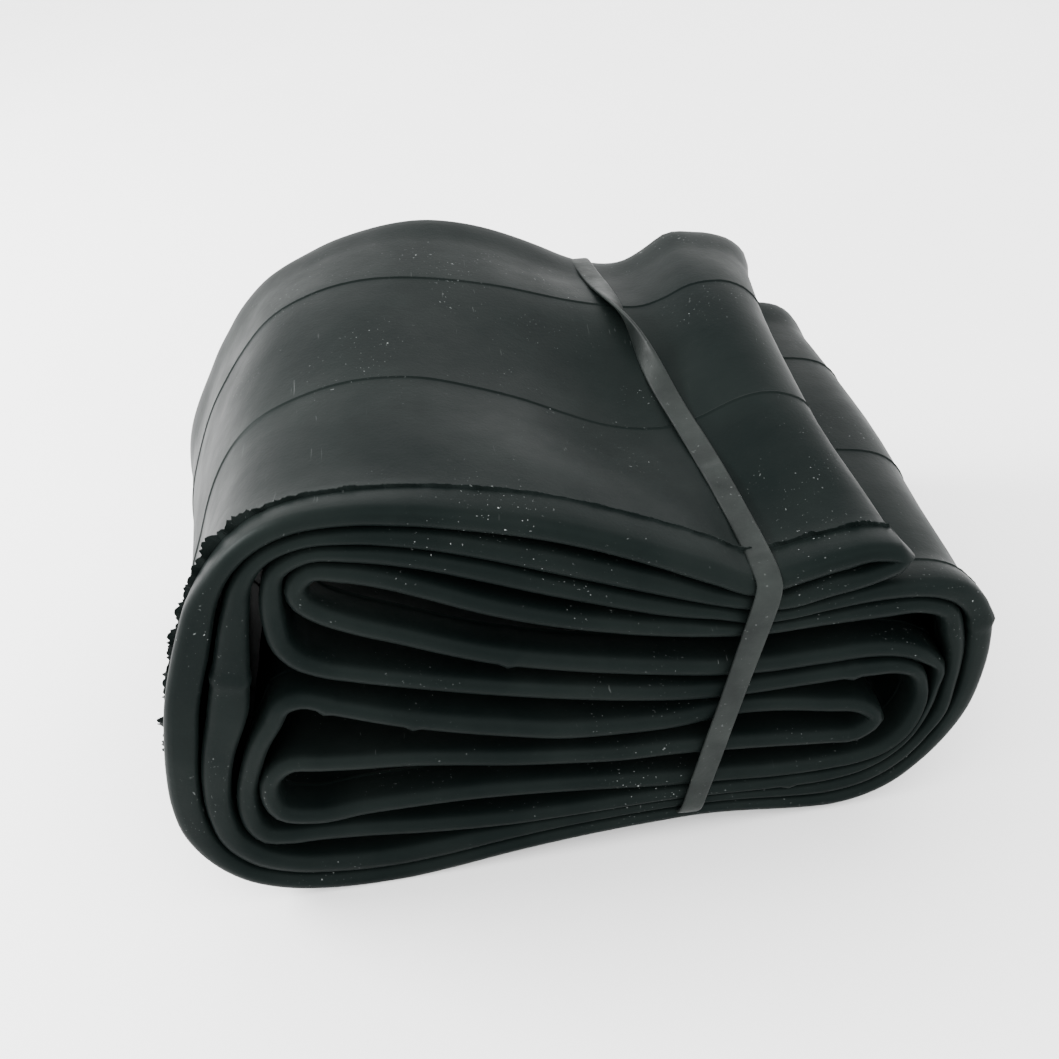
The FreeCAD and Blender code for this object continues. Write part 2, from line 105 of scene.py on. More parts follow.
# ---- fold line along the folded edge in front, strand by strand as above ------------------------------
FRONT_LINE = [
    [(63.4, 62.6), (58, 64.8), (52, 64.3), (45, 63), (37, 61.5), (30, 65.8), (20, 72), (10, 77.5), (0, 82),
     (-10, 85.5), (-20, 88.5), (-30, 90.3), (-40, 90), (-45.5, 88), (-51, 84), (-56, 77.7), (-60, 70),
     (-63.5, 62.5), (-66.5, 55), (-69, 46.5), (-71, 38), (-72.3, 29), (-72, 21), (-70, 14), (-66, 8.5),
     (-60, 4.8), (-52, 2.6), (-44, 1.7), (-36, 1.6), (-26, 2.6), (-15, 4.2), (-5, 5.3), (5, 6),
     (15, 6.3), (25, 6.2), (33, 5.2), (40, 3.9), (46, 2.9), (52, 2.5), (57, 3.3), (63, 6), (67.5, 10),
     (72, 16), (75.5, 23), (77.5, 31), (78.3, 39), (77.6, 46.5), (75, 50.5), (71, 53.3), (66, 54.8)],
    [(60, 55.4), (50, 54.7), (43, 54), (37, 54.3), (30, 57), (20, 60.5), (10, 65), (0, 69.8), (-10, 75),
     (-20, 79.8), (-30, 83.2), (-38, 84.3), (-43.5, 81.5), (-45.3, 76), (-46.2, 70), (-46, 65),
     (-44, 61.3), (-40.5, 58.7), (-35, 56.2)],
    [(-25, 52.3), (-15, 48.7), (-5, 45.5), (5, 42.7), (15, 40.3), (25, 38.5), (33, 37.8), (45, 37.6),
     (58, 37.3), (64, 36.6), (67.5, 34.5), (69, 30), (68, 23), (66, 18.8), (62, 15), (57, 13.4)],
    [(50, 13.1), (40, 13.5), (30, 14.8), (20, 16.1), (10, 17.8), (0, 19.4), (-10, 20.8), (-20, 21.8),
     (-30, 22.2), (-40, 22.3), (-50, 21.7), (-56, 24), (-57.1, 28), (-56, 33), (-52, 36.2)],
    [(-46, 35.3), (-40, 34.3), (-30, 33), (-20, 31), (-10, 28.8), (0, 27.2), (10, 25.8), (20, 25.3),
     (30, 24.2), (40, 22.8), (50, 21.2), (56, 20.6), (59.8, 24), (57, 27.5)],
    [(50, 29.6), (40, 32), (33, 32.8), (20, 32), (10, 32.8), (0, 34.2), (-10, 37.2), (-20, 40.6),
     (-30, 44.5), (-40, 49.3), (-46, 52.2), (-49, 51.5), (-52, 47.5), (-56, 42), (-59, 36),
     (-61.2, 30), (-62, 25), (-61.8, 21), (-60.3, 18)],
    [(-57, 17), (-50, 16.6), (-40, 15.6), (-30, 14.2), (-20, 13.2), (-10, 12.6), (0, 12.4), (20, 12),
     (30, 11), (42, 9.9), (50, 9.7), (57, 10.7), (61.5, 12.8), (66, 17), (69, 23), (70.8, 29.5),
     (71.5, 35), (70, 36.5), (66, 39.5)],
    [(60, 41.6), (50, 42.2), (38, 42.6), (30, 43.7), (20, 46), (10, 48.6), (0, 51.6), (-10, 55.2),
     (-20, 60.2), (-25, 63), (-34, 68), (-38.5, 71.3), (-41, 74.5), (-41.3, 77), (-38, 80.4)],
    [(-33, 79.3), (-25, 76), (-20, 73.2), (-10, 67.4), (0, 62.6), (10, 58.8), (20, 55.6), (30, 53.2),
     (37, 52), (50, 51.6), (60, 51.2), (68, 50.6), (73, 47.8), (74.2, 43), (74.6, 38), (74, 30),
     (72.5, 22), (70, 18), (67.5, 14.5), (62.5, 9.8), (57, 7.2)],
    [(50, 6.2), (42, 6.9), (33, 8.2), (25, 9), (15, 9.3), (5, 9.2), (-5, 8.8), (-15, 8), (-28, 6.6),
     (-38, 6.3), (-48, 7.3), (-57, 9.3), (-63, 12.8), (-66.5, 18), (-67.2, 26), (-65.8, 34.5),
     (-63, 43), (-59.7, 50), (-55.5, 63), (-52, 74.5), (-50, 79.5), (-45, 84.8), (-38, 87),
     (-30, 86.3), (-20, 83.6), (-10, 79.8), (0, 75.3), (10, 70.5), (20, 65.4), (30, 60.5), (37, 58),
     (43, 57), (50, 58.3), (58, 60)],
]
OUTER, SECOND = 0, 9        # the strands that are seen from above
# how far each strand's back edge leaves its middle, as a share of what its front edge does
BACK_SHARE = (1.1, 0.3, 0.2, 0.2, 0.2, 0.2, 0.2, 0.2, 0.3, 0.6)
# half the thickness of each strand's bead in front
BEAD_HALF = (2.1, 2.05, 2.05, 2.0, 2.0, 2.05, 2.0, 2.05, 2.05, 2.5)
LEFT_BEAD_EXTRA, RIGHT_BEAD_EXTRA = 1.25, 0.8       # the two outermost beads are thicker at the sides
GROOVE = 0.4                                        # and have a shallow groove along their nose

# swells and dents of the outermost strand's top: a row for each place across, a column for each along
SWELL_X = (-54, -42, -30, -15, 0, 10, 20, 30, 40, 50, 58, 66)
SWELL_Y = (-56, -48, -10.7, 26.7, 56)
SWELLS = ((0, 0, 0, 0, 0, 0, 0, 0, 0, 0, 0, 0),
          (0, -0.7, -0.7, 0.3, 1.1, 1.0, 1.3, 1.6, -0.6, -0.9, -1.0, 0),
          (-2, -3.0, -1.1, -0.8, -2.7, -4.1, -3.8, -0.6, 2.5, 2.8, 1.0, 0),
          (-0.5, 0.2, 1.0, 0.8, 1.1, 2.0, 4.1, 6.2, 5.5, 3.8, 0.3, 0),
          (-2, -3.2, -1.9, 0.2, 1.0, 0.5, -0.4, 1.2, 0.5, -3.6, -5.0, -2))
# sideways leanings of the bundle: the spot (x, z), its reach, and the shift in x at each of SWELL_Y
LEANS = (((62, 64), 9, (0, 0, -3.2, -5.0, -3.2), (0, 9)),
         ((-80, 44), 20, (0, 0, 0, -1.0, -3.0), (0, 9)),
         ((80, 47), 24, (0, 0, -0.5, -3.0, -6.5), range(10)))

# moulding marks: thin ribs across the folded edge in front, each at the (x, z) where it crosses
RIB_HEIGHT = 0.38
RIBS = ((-6.5, 55), (-25.5, 46), (-40, 51), (-55, 59), (55.5, 38), (42, 10), (79, 44.5))

# ---- the band ------------------------------------------------------------------------------------
BAND_HALF_WIDTH = 2.25
BAND_HALF_THICKNESS = 0.45
SQUARENESS = 0.1            # how boxy the ends of its section are

rng = np.random.default_rng(41)


# ---- curves --------------------------------------------------------------------------------------
FINE = 16                   # samples between two points of a curve


def curve_within(points):
    """A closed smooth curve that rounds the corners of its points."""
    p = np.asarray(points, float)
    start, end = (np.roll(p, 1, 0) + p) / 2, (p + np.roll(p, -1, 0)) / 2
    t = (np.arange(FINE) / FINE)[None, :, None]
    bent = (1 - t) ** 2 * start[:, None] + 2 * t * (1 - t) * p[:, None] + t ** 2 * end[:, None]
    return np.roll(bent.reshape(-1, p.shape[1]), -FINE // 2, 0)


def curve_through(points):
    """A closed smooth curve that passes through its points."""
    p = np.asarray(points, float)
    before, after = np.roll(p, 1, 0), np.roll(p, -1, 0)
    ahead = np.linalg.norm(after - p, axis=1)[:, None]
    behind = np.roll(ahead, 1, 0)
    slope = ((p - before) / behind * ahead + (after - p) / ahead * behind) / (ahead + behind)
    t = (np.arange(FINE) / FINE)[None, :, None]
    leave, arrive = (slope * ahead)[:, None], (np.roll(slope, -1, 0) * ahead)[:, None]
    bent = ((2 * t ** 3 - 3 * t ** 2 + 1) * p[:, None] + (t ** 3 - 2 * t ** 2 + t) * leave
            + (3 * t ** 2 - 2 * t ** 3) * after[:, None] + (t ** 3 - t ** 2) * arrive)
    return bent.reshape(-1, p.shape[1])


def run_length(line):
    """Distance along a closed line from its first sample to each one, and to the first one again."""
    return np.r_[0, np.cumsum(np.linalg.norm(np.roll(line, -1, 0) - line, axis=1))]


def share_out(line, strands, counts):
    """Samples of a closed line, evenly spaced within each strand, by the given count for each."""
    far = run_length(line)
    starts = np.cumsum([0] + [len(s) for s in strands]) * FINE
    marks = [np.linspace(far[a], far[b], n, endpoint=False)
             for a, b, n in zip(starts, starts[1:], counts)]
    closed = np.vstack([line, line[:1]])
    return np.column_stack([np.interp(np.concatenate(marks), far, closed[:, k])
                            for k in range(line.shape[1])])


def ring_blur(values, reach):
    """A running mean round a closed ring, over this many samples each way."""
    return sum(np.roll(values, k, 0) for k in range(-reach, reach + 1)) / (2 * reach + 1)


def ring_lowest(values, reach):
    return np.min([np.roll(values, k, 0) for k in range(-reach, reach + 1)], axis=0)


def smooth_rise(value, low, high):
    t = np.clip((value - low) / (high - low), 0, 1)
    return t * t * (3 - 2 * t)


def ripples(along, across, shortest, longest, count):
    """Soft uneven waves over a surface, between about -1 and 1."""
    total = 0
    for _ in range(count):
        turn = rng.uniform(0, math.tau)
        wave = math.tau / rng.uniform(shortest, longest)
        phase = rng.uniform(0, math.tau)
        total = total + np.sin(wave * (along * math.cos(turn) + across * math.sin(turn)) + phase)
    return total / math.sqrt(count) / 1.4


# ---- the tube's stations ---------------------------------------------------------------------------
middle_curve = curve_within(sum(MIDDLE_LINE, []))
front_curve = curve_through(sum(FRONT_LINE, []))
strand_ends = np.cumsum([0] + [len(s) for s in MIDDLE_LINE]) * FINE
strand_lengths = np.diff(run_length(middle_curve)[strand_ends])
strand_counts = [round(length / STEP) for length in strand_lengths]
middle = share_out(middle_curve, MIDDLE_LINE, strand_counts)
front = share_out(front_curve, FRONT_LINE, strand_counts)
strand_of = np.repeat(np.arange(len(MIDDLE_LINE)), strand_counts)
back_share = ring_blur(np.array(BACK_SHARE)[strand_of], 8)
along = np.arange(len(middle)) * STEP
outermost = ring_blur(np.isin(strand_of, (OUTER, SECOND)).astype(float), 4)
at_left = (smooth_rise(-front[:, 0], 50, 60) * smooth_rise(front[:, 1], 8, 26)
           * (1 - smooth_rise(front[:, 1], 74, 88)))
at_right = smooth_rise(front[:, 0], 66, 76)
wide_bead = outermost * (at_left + at_right * RIGHT_BEAD_EXTRA / LEFT_BEAD_EXTRA)
bead_half = ring_blur(np.array(BEAD_HALF)[strand_of], 5) + LEFT_BEAD_EXTRA * wide_bead
crown_share = ring_blur((strand_of == OUTER).astype(float), 3) * smooth_rise(middle[:, 1], 48, 66)


def between(marks, values, place):
    """A smooth value at a place between marks, from one row of values for each mark."""
    marks, values = np.asarray(marks, float), np.asarray(values, float)
    slopes = np.gradient(values, marks, axis=0)
    k = int(np.clip(np.searchsorted(marks, place) - 1, 0, len(marks) - 2))
    gap = marks[k + 1] - marks[k]
    t = min(max((place - marks[k]) / gap, 0), 1)
    return ((2 * t ** 3 - 3 * t ** 2 + 1) * values[k] + (t ** 3 - 2 * t ** 2 + t) * gap * slopes[k]
            + (3 * t ** 2 - 2 * t ** 3) * values[k + 1] + (t ** 3 - t ** 2) * gap * slopes[k + 1])


def fold_at(y):
    """The fold line's (x, z) points at a distance y across the hose; the front edge is at negative y."""
    v = -y / HALF_WIDTH
    weight = ((1 + back_share) / 2) * v + ((1 - back_share) / 2) * v * v
    line = middle + (front - middle) * weight[:, None]
    swell = ring_blur(np.interp(line[:, 0], SWELL_X, between(SWELL_Y, SWELLS, y)), 3)
    # the strands under a dent in the left part of the crown sink with it
    below = (strand_of != OUTER) * smooth_rise(line[:, 1], 62, 84) * (1 - smooth_rise(line[:, 0], -30, -10))
    swell = swell * crown_share + np.minimum(swell, 0) * ring_blur(below, 3)
    shift = np.zeros(len(line))
    for (x, z), reach, shifts, strands in LEANS:
        near = np.exp(-((line[:, 0] - x) ** 2 + (line[:, 1] - z) ** 2) / reach ** 2)
        share = ring_blur(np.isin(strand_of, list(strands)).astype(float), 3)
        shift += between(SWELL_Y, np.array(shifts)[:, None], y)[0] * near * share
    return line + np.column_stack([shift, swell])


def side_of(line):
    """Unit normals to the left of a closed line, seen along Y."""
    way = np.roll(line, -1, 0) - np.roll(line, 1, 0)
    way /= np.linalg.norm(way, axis=1)[:, None]
    return np.column_stack([-way[:, 1], way[:, 0]])


def room_beside(line):
    """How far each wall may stand off its fold line, to the left and to the right."""
    normal = side_of(line)
    gap = line[None] - line[:, None]
    distance = np.linalg.norm(gap, axis=2)
    apart = np.abs(along[None] - along[:, None])
    apart = np.minimum(apart, along[-1] + STEP - apart)
    leaning = np.einsum("ijk,ik->ij", gap, normal)
    turn = np.cross(np.roll(normal, 1, 0), np.roll(normal, -1, 0)) / (2 * STEP)
    rooms = []
    for side in (1, -1):
        beside = (apart > NOT_A_NEIGHBOUR) & (side * leaning > ROOM_SHARE * distance)
        room = TOUCHING * np.min(np.where(beside, distance, 99.0), axis=1)
        room = np.minimum(room, LEAST_BEND / np.maximum(ring_blur(side * turn, 1), 1e-3))
        rooms.append(ring_blur(ring_lowest(room, 2), 2))
    return rooms


# ---- meshes ----------------------------------------------------------------------------------------
def add_mesh(name, points, faces, material, smooth=True):
    """A piece on the tube's body from points in millimetres."""
    mesh = bpy.data.meshes.new(name)
    mesh.from_pydata((np.asarray(points, float) * MM).tolist(), [], faces)
    work = bmesh.new()
    work.from_mesh(mesh)
    bmesh.ops.recalc_face_normals(work, faces=work.faces)
    work.to_mesh(mesh)
    work.free()
    mesh.polygons.foreach_set("use_smooth", [smooth] * len(mesh.polygons))
    mesh.materials.append(material)
    piece = bpy.data.objects.new(name, mesh)
    bpy.context.scene.collection.objects.link(piece)
    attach(piece, "tube")
    return piece


def grid_faces(rows, columns, close_rows, close_columns=True):
    """Four-sided faces of a grid of points, closed round its columns and, if asked, its rows."""
    faces = []
    for i in range(rows if close_rows else rows - 1):
        for j in range(columns if close_columns else columns - 1):
            k, m = (i + 1) % rows, (j + 1) % columns
            faces.append((i * columns + j, k * columns + j, k * columns + m, i * columns + m))
    return faces


def section_points():
    """The hose's cross-section as (y, side from -1 to 1, seam) going round it once."""
    flat_end = HALF_WIDTH - NOSE
    spread = np.r_[np.linspace(-flat_end, -44, 6), np.linspace(-38, 38, 11), np.linspace(44, flat_end, 6)]

    def face(side, seams):
        near = [y for y in spread if min(abs(y - s) for s in seams) > 2 * SEAM_CLEAR]
        marks = [(y, side, 0) for y in near]
        for s in seams:
            marks += [(s - SEAM_CLEAR, side, 0), (s - SEAM_HALF, side, 0), (s, side, 1),
                      (s + SEAM_HALF, side, 0), (s + SEAM_CLEAR, side, 0)]
        return sorted(marks)

    angles = np.linspace(-90, 90, 9)[1:-1]
    round_nose = [(math.cos(math.radians(a)), math.sin(math.radians(a))) for a in angles]
    back = [(flat_end + NOSE * c, s, 0) for c, s in round_nose]
    ahead = [(-flat_end - NOSE * c, -s, 0) for c, s in round_nose]
    return face(-1, TREAD_SEAMS) + back + face(1, RIM_SEAMS)[::-1] + ahead


def wall_heights(y, side):
    """Distance of the wall on one side from the fold line at y, for every station."""
    swell = smooth_rise(abs(y), BEAD_START, BEAD_FULL)
    bead = bead_half if y < 0 else np.full(len(along), EDGE_HALF)
    wall = MIDDLE_HALF + (bead * unevenness - MIDDLE_HALF) * swell
    place = (y / HALF_WIDTH + 1) / 2 * (len(ROOM_MARKS) - 1)
    low = min(int(max(place, 0)), len(ROOM_MARKS) - 2)
    t = min(max(place - low, 0), 1)
    left_or_right = 0 if side > 0 else 1
    room = rooms[low][left_or_right] * (1 - t) + rooms[low + 1][left_or_right] * t
    return np.minimum(wall, room)


ROOM_MARKS = np.linspace(-HALF_WIDTH, HALF_WIDTH, 7)
rooms = [room_beside(fold_at(y)) for y in ROOM_MARKS]
unevenness = 1 + WALL_UNEVENNESS * ripples(along, 0, 35, 140, 5)
edge_push = EDGE_WANDER * ripples(along, 0, 60, 240, 6)
tread_share = ring_blur((strand_of == OUTER).astype(float), 3) * smooth_rise(middle[:, 1], 20, 45)


crest_waves = [(rng.uniform(0, math.tau), math.tau / rng.uniform(22, 60), rng.uniform(0, math.tau))
              for _ in range(7)]


def ripples_on_top(s, y):
    """The same soft waves, from a fixed set, at a run length along the strand and a place across it."""
    total = 0
    for turn, wave, phase in crest_waves:
        total = total + np.sin(wave * (s * math.cos(turn) + y * math.sin(turn)) + phase)
    return total / 3.5


def tube_surface():
    """Points of the hose: one ring of cross-sections, from the outer fold round to itself."""
    columns = []
    edge = fold_at(-HALF_WIDTH)
    rib = np.zeros(len(edge))
    for spot in RIBS:
        rib[np.argmin(np.linalg.norm(edge - spot, axis=1))] = RIB_HEIGHT
    for y, side, seam in section_points():
        line = fold_at(y)
        normal = side_of(line)
        tread = side < 0
        wall = wall_heights(y, side) * abs(side) + seam * SEAM_HEIGHT
        calm = 1 - smooth_rise(abs(y), 40, 52)
        if tread:
            wave = ripples_on_top(along, y)
            wall = wall + tread_share * calm * (TOP_WAVE * wave)
        wall = wall + rib * smooth_rise(-y, 46, 52) * abs(side)
        place = line + normal * (math.copysign(1, side) * wall)[:, None] if side else line
        push = edge_push * (abs(y) / HALF_WIDTH) ** 6 * math.copysign(1, y)
        if y < -HALF_WIDTH + NOSE:
            push = push + GROOVE * wide_bead * max(0, 1 - (side / 0.6) ** 2) - rib
        columns.append(np.column_stack([place[:, 0] - BUNDLE_MIDDLE_X, y + push, place[:, 1]]))
    points = np.stack(columns, axis=1)
    points[..., 2] = np.maximum(points[..., 2], 0.02)
    return points


# ---- materials -------------------------------------------------------------------------------------
class Nodes:
    """Short hand for building one node material."""

    def __init__(self, name):
        self.material = bpy.data.materials.new(name)
        self.material.use_nodes = True
        self.tree = self.material.node_tree
        self.shader = self.tree.nodes["Principled BSDF"]
        self.space = self.add("ShaderNodeTexCoord").outputs["Object"]

    def add(self, kind, **values):
        node = self.tree.nodes.new(kind)
        for key, value in values.items():
            setattr(node, key, value)
        return node

    def link(self, out, into):
        self.tree.links.new(out, into)

    def noise(self, scale, detail=4.0, roughness=0.55, stretch=None, distortion=0.0):
        node = self.add("ShaderNodeTexNoise")
        node.inputs["Scale"].default_value = scale
        node.inputs["Detail"].default_value = detail
        node.inputs["Roughness"].default_value = roughness
        node.inputs["Distortion"].default_value = distortion
        if stretch:
            turn = self.add("ShaderNodeMapping")
            turn.inputs["Rotation"].default_value = stretch[0]
            turn.inputs["Scale"].default_value = stretch[1]
            self.link(self.space, turn.inputs["Vector"])
            self.link(turn.outputs["Vector"], node.inputs["Vector"])
        else:
            self.link(self.space, node.inputs["Vector"])
        return node.outputs["Fac"]

    def ramp(self, value, stops):
        node = self.add("ShaderNodeMapRange")
        low, high, to_low, to_high = stops
        node.inputs["From Min"].default_value = low
        node.inputs["From Max"].default_value = high
        node.inputs["To Min"].default_value = to_low
        node.inputs["To Max"].default_value = to_high
        self.link(value, node.inputs["Value"])
        return node.outputs["Result"]

    def math(self, operation, a, b):
        node = self.add("ShaderNodeMath", operation=operation)
        for value, socket in ((a, node.inputs[0]), (b, node.inputs[1])):
            if isinstance(value, (int, float)):
                socket.default_value = value
            else:
                self.link(value, socket)
        return node.outputs["Value"]

    def mix(self, share, a, b):
        node = self.add("ShaderNodeMix", data_type="RGBA")
        self.link(share, node.inputs["Factor"])
        sockets = [s for s in node.inputs if s.type == "RGBA"]
        for value, socket in zip((a, b), sockets):
            if isinstance(value, tuple):
                socket.default_value = (*value, 1)
            else:
                self.link(value, socket)
        return [s for s in node.outputs if s.type == "RGBA"][0]

    def bump(self, height, distance, strength=1.0, under=None):
        node = self.add("ShaderNodeBump")
        node.inputs["Distance"].default_value = distance
        node.inputs["Strength"].default_value = strength
        self.link(height, node.inputs["Height"])
        if under:
            self.link(under, node.inputs["Normal"])
        return node.outputs["Normal"]

    def finish(self, colour=None, roughness=None, normal=None, **values):
        if colour is not None:
            if isinstance(colour, tuple):
                self.shader.inputs["Base Color"].default_value = (*colour, 1)
            else:
                self.link(colour, self.shader.inputs["Base Color"])
        if roughness is not None:
            if isinstance(roughness, float):
                self.shader.inputs["Roughness"].default_value = roughness
            else:
                self.link(roughness, self.shader.inputs["Roughness"])
        if normal is not None:
            self.link(normal, self.shader.inputs["Normal"])
        for key, value in values.items():
            self.shader.inputs[key.replace("_", " ")].default_value = value
        return self.material


def butyl_rubber():
    """Black cured rubber with a soft sheen, worn patches, fine dust and hair-thin scratches."""
    n = Nodes("butyl_rubber")
    worn = n.ramp(n.noise(38, 5), (0.40, 0.70, 0, 1))
    deep = n.mix(worn, (0.0020, 0.0034, 0.0032), (0.0044, 0.0062, 0.0057))
    dust = n.ramp(n.noise(1700, 1.5, 0.5), (0.70, 0.78, 0, 1))
    dusty = n.math("MULTIPLY", dust, n.ramp(n.noise(48, 4, 0.65), (0.51, 0.70, 0, 0.9)))
    hairs = n.ramp(n.noise(2300, 1, 0.4, ((0.2, 0.5, 0.7), (1, 0.05, 0.3)), 0.5), (0.75, 0.78, 0, 0.22))
    marks = n.math("MAXIMUM", dusty, n.math("MULTIPLY", hairs, n.ramp(n.noise(40, 2), (0.56, 0.7, 0, 1))))
    colour = n.mix(marks, deep, (0.20, 0.215, 0.21))
    rough = n.math("ADD", n.ramp(n.noise(90, 5), (0.3, 0.7, 0.40, 0.50)), n.math("MULTIPLY", marks, 0.3))
    grain = n.bump(n.noise(1500, 3), 0.00005, 0.5)
    soft = n.bump(n.noise(160, 3), 0.0002, 0.35, grain)
    n.shader.inputs["Specular Tint"].default_value = (0.84, 1.0, 0.965, 1)
    return n.finish(colour, rough, soft, Specular_IOR_Level=0.033)


def band_rubber():
    """The band's rubber: black, a little duller, with fine ribs and pale bloom."""
    n = Nodes("band_rubber")
    cloudy = n.ramp(n.noise(120, 5), (0.35, 0.7, 0, 1))
    colour = n.mix(cloudy, (0.0045, 0.0062, 0.0057), (0.011, 0.0138, 0.0126))
    bloom = n.ramp(n.noise(1100, 2, 0.5), (0.70, 0.80, 0, 0.6))
    colour = n.mix(bloom, colour, (0.10, 0.108, 0.105))
    rough = n.ramp(n.noise(300, 4), (0.3, 0.7, 0.42, 0.6))
    return n.finish(colour, rough, n.bump(n.noise(1300, 3), 0.00008, 0.5), Specular_IOR_Level=0.1)


def moulded_rubber():
    n = Nodes("moulded_rubber")
    colour = n.mix(n.ramp(n.noise(200, 4), (0.35, 0.7, 0, 1)), (0.011, 0.011, 0.011), (0.03, 0.03, 0.029))
    return n.finish(colour, n.ramp(n.noise(400, 3), (0.3, 0.7, 0.5, 0.65)),
                    n.bump(n.noise(1600, 3), 0.00006, 0.5))


def brass(name, bright, dull):
    n = Nodes(name)
    stain = n.ramp(n.noise(420, 5), (0.4, 0.68, 0, 1))
    turned = n.bump(n.noise(2500, 2, 0.5, ((0, 0, 0), (0.2, 0.2, 3))), 0.00002, 0.4)
    return n.finish(n.mix(stain, bright, dull), n.ramp(n.noise(700, 3), (0.3, 0.7, 0.22, 0.42)), turned,
                    Metallic=1.0)


def spring_steel():
    n = Nodes("spring_steel")
    colour = n.mix(n.ramp(n.noise(900, 4), (0.35, 0.7, 0, 1)), (0.5, 0.5, 0.49), (0.32, 0.31, 0.3))
    return n.finish(colour, n.ramp(n.noise(1500, 2), (0.3, 0.7, 0.2, 0.36)), None, Metallic=1.0)


def seal_rubber():
    n = Nodes("seal_rubber")
    colour = n.mix(n.ramp(n.noise(500, 4), (0.35, 0.7, 0, 1)), (0.11, 0.018, 0.013), (0.17, 0.035, 0.024))
    return n.finish(colour, n.ramp(n.noise(900, 3), (0.3, 0.7, 0.45, 0.6)),
                    n.bump(n.noise(2500, 2), 0.00003, 0.5))


def cap_plastic():
    n = Nodes("cap_plastic")
    colour = n.mix(n.ramp(n.noise(300, 4), (0.35, 0.7, 0, 1)), (0.009, 0.009, 0.010), (0.02, 0.02, 0.021))
    return n.finish(colour, n.ramp(n.noise(900, 3), (0.3, 0.7, 0.34, 0.46)),
                    n.bump(n.noise(3000, 2), 0.00003, 0.4))


def floor_white():
    n = Nodes("floor_white")
    colour = n.mix(n.ramp(n.noise(8, 3), (0.3, 0.7, 0, 1)), (0.86, 0.86, 0.86), (0.89, 0.89, 0.89))
    return n.finish(colour, 0.7)


NODE_MATERIALS = {
    "valve_base": moulded_rubber(),
    "valve_stem": brass("stem_brass", (0.78, 0.58, 0.27), (0.5, 0.36, 0.17)),
    "core_plug": brass("core_brass", (0.82, 0.66, 0.36), (0.56, 0.43, 0.22)),
    "core_spring": spring_steel(),
    "barrel_gasket": seal_rubber(),
    "dust_cap": cap_plastic(),
}
for twin in ("core_barrel", "core_pin", "pin_cup"):
    NODE_MATERIALS[twin] = NODE_MATERIALS["core_plug"]
for twin in ("cup_gasket", "cap_gasket"):
    NODE_MATERIALS[twin] = NODE_MATERIALS["barrel_gasket"]
for name, material in NODE_MATERIALS.items():
    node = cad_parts[name]
    node.data.materials.clear()
    node.data.materials.append(material)

# ---- the valve core's spring, copied into a piece of its own with a mesh of its own ------------------
spring_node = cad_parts["core_spring"]
coil = bpy.data.objects.new("coil_spring", spring_node.data.copy())
bpy.context.scene.collection.objects.link(coil)
coil.matrix_world = spring_node.matrix_world
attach(coil, "tube")
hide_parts("core_spring")
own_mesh(coil)

# ---- the tube ---------------------------------------------------------------------------------------
rubber = butyl_rubber()
surface = tube_surface()
rows, columns, _ = surface.shape
tube = add_mesh("inner_tube", surface.reshape(-1, 3), grid_faces(rows, columns, True), rubber)
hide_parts("tube_body")

# ---- the ragged flash along the seam in front --------------------------------------------------------
FIN_STEP = 0.45
FIN_Y = TREAD_SEAMS[0]
FIN_FOOT = 0.35             # how deep it starts below the skin
FIN_HALF_FOOT, FIN_HALF_TIP = 0.34, 0.12
# heights at stations (x, z) along the outermost strand, in order round it
TOP_FIN = ((62, 64, 0.5), (50, 65.8, 0.8), (38, 65, 0.7), (34, 67, 0.3), (0, 85, 0.3), (-25, 91, 0.35),
           (-38, 91.2, 0.55), (-43, 90.6, 1.1), (-48.3, 86.6, 1.7), (-55.9, 80.5, 1.9), (-61.3, 73.8, 1.3),
           (-67.3, 63.3, 1.5), (-72.2, 51.8, 1.8), (-76, 40, 1.9), (-78.1, 28.5, 1.3), (-78, 19, 0.4))
RIGHT_FIN = ((74, 14, 0.3), (80, 22, 0.7), (82, 32, 1.0), (82, 42, 0.9), (79, 51, 0.3))


def ragged_fin(name, heights):
    """A thin torn fin of flash on the tread face of the outermost strand."""
    line = fold_at(FIN_Y)
    skin = line - side_of(line) * (wall_heights(FIN_Y, -1) + SEAM_HEIGHT)[:, None]
    outer = np.nonzero(strand_of == OUTER)[0]
    stations = [outer[np.argmin(np.linalg.norm(skin[outer] - (x, z), axis=1))] for x, z, _ in heights]
    rows = np.arange(stations[0], stations[-1] + 1)
    far = np.r_[0, np.cumsum(np.linalg.norm(np.diff(skin[rows], axis=0), axis=1))]
    marks = np.arange(0, far[-1], FIN_STEP)
    foot = np.column_stack([np.interp(marks, far, skin[rows, k]) for k in range(2)])
    outward = np.column_stack([np.interp(marks, far, -side_of(line)[rows, k]) for k in range(2)])
    tall = np.interp(marks, far[np.array(stations) - rows[0]], [height for _, _, height in heights])
    torn = rng.uniform(0.6, 1.15, len(marks)) * (0.85 + 0.35 * ripples(marks, 0, 2.2, 7, 5))
    height = tall * np.clip(torn, 0.4, 1.5)
    bend = 0.35 * tall * ripples(marks, 0, 3, 11, 5)
    height[[0, -1]] = 0.02
    points = []
    for reach, half in ((-FIN_FOOT, -FIN_HALF_FOOT), (1, -FIN_HALF_TIP), (1, FIN_HALF_TIP),
                        (-FIN_FOOT, FIN_HALF_FOOT)):
        out = height if reach > 0 else np.full(len(marks), reach)
        place = foot + outward * out[:, None]
        aside = FIN_Y + half + (bend if reach > 0 else 0)
        points.append(np.column_stack([place[:, 0] - BUNDLE_MIDDLE_X, np.zeros(len(marks)) + aside,
                                       np.maximum(place[:, 1], 0.02)]))
    points = np.stack(points, axis=1)
    count = len(marks)
    faces = grid_faces(count, 4, False) + [(3, 2, 1, 0), tuple(4 * (count - 1) + k for k in range(4))]
    return add_mesh(name, points.reshape(-1, 3), faces, rubber, smooth=False)


ragged_fin("top_flash", TOP_FIN)
ragged_fin("right_flash", RIGHT_FIN)


